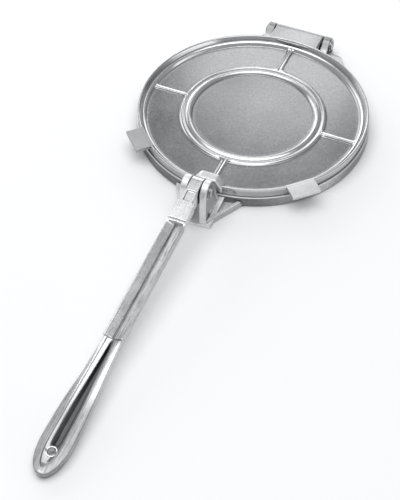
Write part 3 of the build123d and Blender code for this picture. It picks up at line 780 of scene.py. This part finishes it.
def lever_wear(x, u):
    """The lever's bright and dark marks at points x across and u along it.

    Its neck is evenly worn. From the channel on the rims are bright, partly worn and partly a
    painted highlight, and the hollow is darkened as painted shade, but for the dish round the
    eye. The right half of the shaft is painted darker, and the valley wall in the grip painted
    dark, both as painted shade. The shaft greys towards the grip, and the grip's rims towards
    their end. Lists of nine values are for the corners of half_sections, from the back's middle
    to the bed's.
    """
    from_channel = smooth_step(u, NECK_END + 2.5, NECK_END + 5.0)
    held = smooth_step(u, GRIP_START - 3, GRIP_START + 5)
    before_eye = 1 - smooth_step(u, EYE - 8, EYE - 3)
    right = smooth_step(x, 0.1, 0.5)
    # Rims bright, partly worn and partly painted highlight; the shaft's right half less bright, as
    # painted shade.
    wear_and_sheen = over_section(0.2, 0.2, 0.7, 0.6, 0.7, 0.6, 0.6, 0.0, 0.0) - 0.55 * right * (1 - held)
    wear_and_sheen = 0.75 + (wear_and_sheen - 0.75) * from_channel

    # Painted shade: the shaft's right half and the grip's valley wall are darkened.
    shaft_side_shade = over_section(0, 0, 0.1, 0.35, 0.35, 0.35, 0.15, 0, 0) * (1 - held)
    shaded_wall = over_section(0, 0, 0, 0, 0, 0, 0.8, 0, 0) * held
    grey_shaft = over_section(0, 0, 0.1, 0.16, 0.16, 0.16, 0.1, 0, 0) * (1 - held)
    grey_rims = over_section(0, 0, 0.62, 0.62, 0.5, 0.45, 0.45, 0, 0) * (1 + 0.08 * right)
    grey_end = 0.4 * smooth_step(u, GRIP_WIDEST, EYE + 4)
    # Painted shade in the channel and the valley's bed.
    hollow = over_section(0, 0, 0, 0, 0, 0, 0.05, 0.9, 1.0) * (0.6 + 0.4 * held)
    shade_and_soot = hollow * before_eye + right * (shaft_side_shade + shaded_wall)
    shade_and_soot = shade_and_soot + grey_shaft * smooth_step(u, NECK_END + 22, GRIP_START - 15)
    grey_rims = grey_rims * smooth_step(u, GRIP_START + 30, GRIP_WIDEST - 22)
    shade_and_soot = shade_and_soot + np.maximum(grey_rims, grey_end)
    return wear_and_sheen, shade_and_soot * from_channel


def lever_arm():
    """Neck, channelled shaft and leaf-shaped grip: the half sections, mirrored and closed."""
    u = lever_stations()
    half = half_sections(u)
    section = np.concatenate([half, (half * [-1, 1])[:, -2:0:-1]], axis=1)
    distance = np.broadcast_to(u[:, None, None], (*section.shape[:2], 1))
    x, v, u = np.moveaxis(capped(np.concatenate([section, distance], axis=-1)), -1, 0)
    wear_and_sheen, shade_and_soot = lever_wear(x, u)
    return skin("lever_arm", lever_place(x, u, v), wear_and_sheen, shade_and_soot)


def lever_knuckle():
    """The knuckle: a side view carried across, round about the pin and straight along the neck.

    A panel about 10 by 6 is sunk in its top, its walls smooth steps 0.7 wide.
    """
    half_width, panel_depth = 5.0, 0.8
    a = np.radians(np.linspace(-95, -265, 30))
    arc = KNUCKLE_RADIUS * np.stack([np.cos(a), np.sin(a)], axis=1)
    upper_end = (KNUCKLE_END, bearing_height(KNUCKLE_END))
    lower_end = (KNUCKLE_END, -BACK)
    chin = (0.8, -8.7)
    straight = rounded([arc[-1], upper_end, lower_end, chin], [0.4, 0.5])
    outline = divided(np.concatenate([arc, straight[1:-1]]), 0.4)
    u, v, x = np.moveaxis(bar(outline, -half_width, half_width, 0.6, between=40), -1, 0)
    top = v > 5.0
    panel = within(x, -3.2, -2.5, 2.5, 3.2) * within(u, 9.8, 10.5, 19.5, 20.2)
    points = lever_place(x, u, v - panel_depth * panel * top)
    # Painted shade on the walls of the sunk panel.
    recess_wall_shade = 3.8 * panel * (1 - panel) * top
    return skin("lever_knuckle", points, wear_and_sheen=0.75 + 0.1 * panel, shade_and_soot=recess_wall_shade)


def hanging_eye():
    """The raised ring round the hanging hole: a small rounded box turned about the hole's axis.

    A dark mark below 0 cancels the painted shade of the grip's hollow on the ring's walls, and
    a full bright mark paints them light, as painted light inside the hole.
    """
    a = np.linspace(0, 2 * np.pi, 64, endpoint=False)[:, None]
    radius, v = box_outline((EYE_RADIUS, -5.0), (EYE_RADIUS + 1.4, 1.8), 0.5).T
    points = lever_place(radius * np.cos(a), EYE + radius * np.sin(a), v)
    wall = np.broadcast_to(1 - smooth_step(v, 0.7, 1.5), points.shape[:2])
    # Painted light on the hole's wall: made fully bright, with the painted shade of the hollow
    # undone.
    wear_and_sheen, shade_and_soot = 0.7 + 0.3 * wall, 0.25 - 4.0 * wall
    return skin("lever_hanging_eye", points, wear_and_sheen, shade_and_soot, wrap_rows=True)


def drill(piece, centre, axis, radius):
    """Cuts a round hole right through a piece, by a Boolean whose result becomes its mesh."""
    bpy.ops.mesh.primitive_cylinder_add(vertices=64, radius=radius * MM, depth=0.04)
    drill_bit = bpy.context.object
    drill_bit.rotation_mode = "QUATERNION"
    drill_bit.rotation_quaternion = Vector((0, 0, 1)).rotation_difference(Vector(axis))
    drill_bit.location = Vector(centre) * MM
    cut = piece.modifiers.new("hole", "BOOLEAN")
    cut.operation = "DIFFERENCE"
    cut.solver = "EXACT"
    cut.object = drill_bit
    bpy.context.view_layer.update()
    evaluated = piece.evaluated_get(bpy.context.evaluated_depsgraph_get())
    whole = piece.data
    piece.data = bpy.data.meshes.new_from_object(evaluated)
    piece.modifiers.clear()
    bpy.data.meshes.remove(whole)
    bpy.data.objects.remove(drill_bit)


def dress(piece, body, material):
    """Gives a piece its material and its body."""
    piece.data.materials.clear()
    piece.data.materials.append(material)
    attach(piece, body)


tabs = [tab("lid_tab_left", -135.0, shade_and_soot=0.5), tab("lid_tab_right", -45.0, shade_and_soot=0.0)]
plate = lid_plate()
for piece in (*tabs, nose()):
    dress(piece, "lid", tab_metal)
for piece in (plate, tongue()):
    dress(piece, "lid", lid_metal)
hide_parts("top_plate")

arm = lever_arm()
drill(arm, lever_place(0.0, EYE, 0.0), OUT, EYE_RADIUS + 0.4)
for piece in (arm, lever_knuckle(), hanging_eye()):
    dress(piece, "lever_arm", lever_metal)
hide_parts("lever")

frame["nodes"]["base_plate"].data.materials[0] = base_metal
for node in ("lever_pin", "hinge_pin", "pin_washers"):
    frame["nodes"][node].data.materials[0] = pin_metal


# Floor, light and camera


def floor():
    """A plain pale floor, far larger than the press."""
    mesh = bpy.data.meshes.new("floor")
    half, level = 6.0, -0.0002
    corners = [(-half, -half, level), (half, -half, level), (half, half, level), (-half, half, level)]
    mesh.from_pydata(corners, [], [(0, 1, 2, 3)])
    ground = bpy.data.objects.new("floor", mesh)
    bpy.context.scene.collection.objects.link(ground)
    paper = Finish("Pale floor", roughness=0.9, base_color=(0.92, 0.92, 0.92, 1.0))
    mesh.materials.append(paper.material)


def softbox(name, place, aim, size, watts):
    """A soft light of the given width and height that faces a point."""
    light = bpy.data.lights.new(name, "AREA")
    light.shape = "RECTANGLE"
    light.size, light.size_y = size
    light.energy = watts
    lamp = bpy.data.objects.new(name, light)
    lamp.visible_camera = False
    lamp.location = place
    lamp.rotation_euler = (Vector(aim) - Vector(place)).to_track_quat("-Z", "Y").to_euler()
    bpy.context.scene.collection.objects.link(lamp)


def surroundings():
    """An even, faintly blue grey all round."""
    world = bpy.data.worlds.new("Studio")
    world.use_nodes = True
    background = world.node_tree.nodes["Background"]
    background.inputs["Color"].default_value = (0.95, 0.97, 1.0, 1.0)
    background.inputs["Strength"].default_value = 0.44
    bpy.context.scene.world = world


def camera(azimuth, elevation, distance, target, focal_pixels, image_width):
    """A camera at a distance from a point, both in millimetres, its focal length in pixels."""
    a, e = np.radians([azimuth, elevation])
    back = Vector((np.sin(a) * np.cos(e), -np.cos(a) * np.cos(e), np.sin(e)))
    lens = bpy.data.cameras.new("camera")
    lens.sensor_fit = "HORIZONTAL"
    lens.sensor_width = 36.0
    lens.lens = focal_pixels * lens.sensor_width / image_width
    lens.clip_end = 50.0
    eye_point = bpy.data.objects.new("camera", lens)
    eye_point.location = (Vector(target) + back * distance) * MM
    eye_point.rotation_euler = back.to_track_quat("Z", "Y").to_euler()
    bpy.context.scene.collection.objects.link(eye_point)
    bpy.context.scene.camera = eye_point


floor()
surroundings()
softbox("overhead light", place=(-0.1, -0.4, 1.9), aim=(-0.1, -0.4, 0.0), size=(2.2, 1.8), watts=27.0)
softbox("near light", place=(-0.12, 0.41, 0.31), aim=(0.0, 0.10, 0.0), size=(0.24, 0.16), watts=0.2)
softbox("rear card", place=(-0.9, 2.2, 0.42), aim=(0.0, 0.0, 0.2), size=(3.2, 0.8), watts=12.0)
softbox("right card", place=(2.2, -0.3, 0.36), aim=(0.0, 0.0, 0.1), size=(2.0, 0.5), watts=4.0)
softbox("left card", place=(-1.9, 1.0, 0.66), aim=(0.0, 0.0, 0.1), size=(2.4, 1.3), watts=14.0)
camera(  # fitted to points of the press in the photograph
    azimuth=23.432,
    elevation=48.146,
    distance=1107.06,
    target=(-2.732, -109.166, -55.215),
    focal_pixels=1293.764,
    image_width=400,
)
bpy.context.scene.view_settings.view_transform = "Standard"
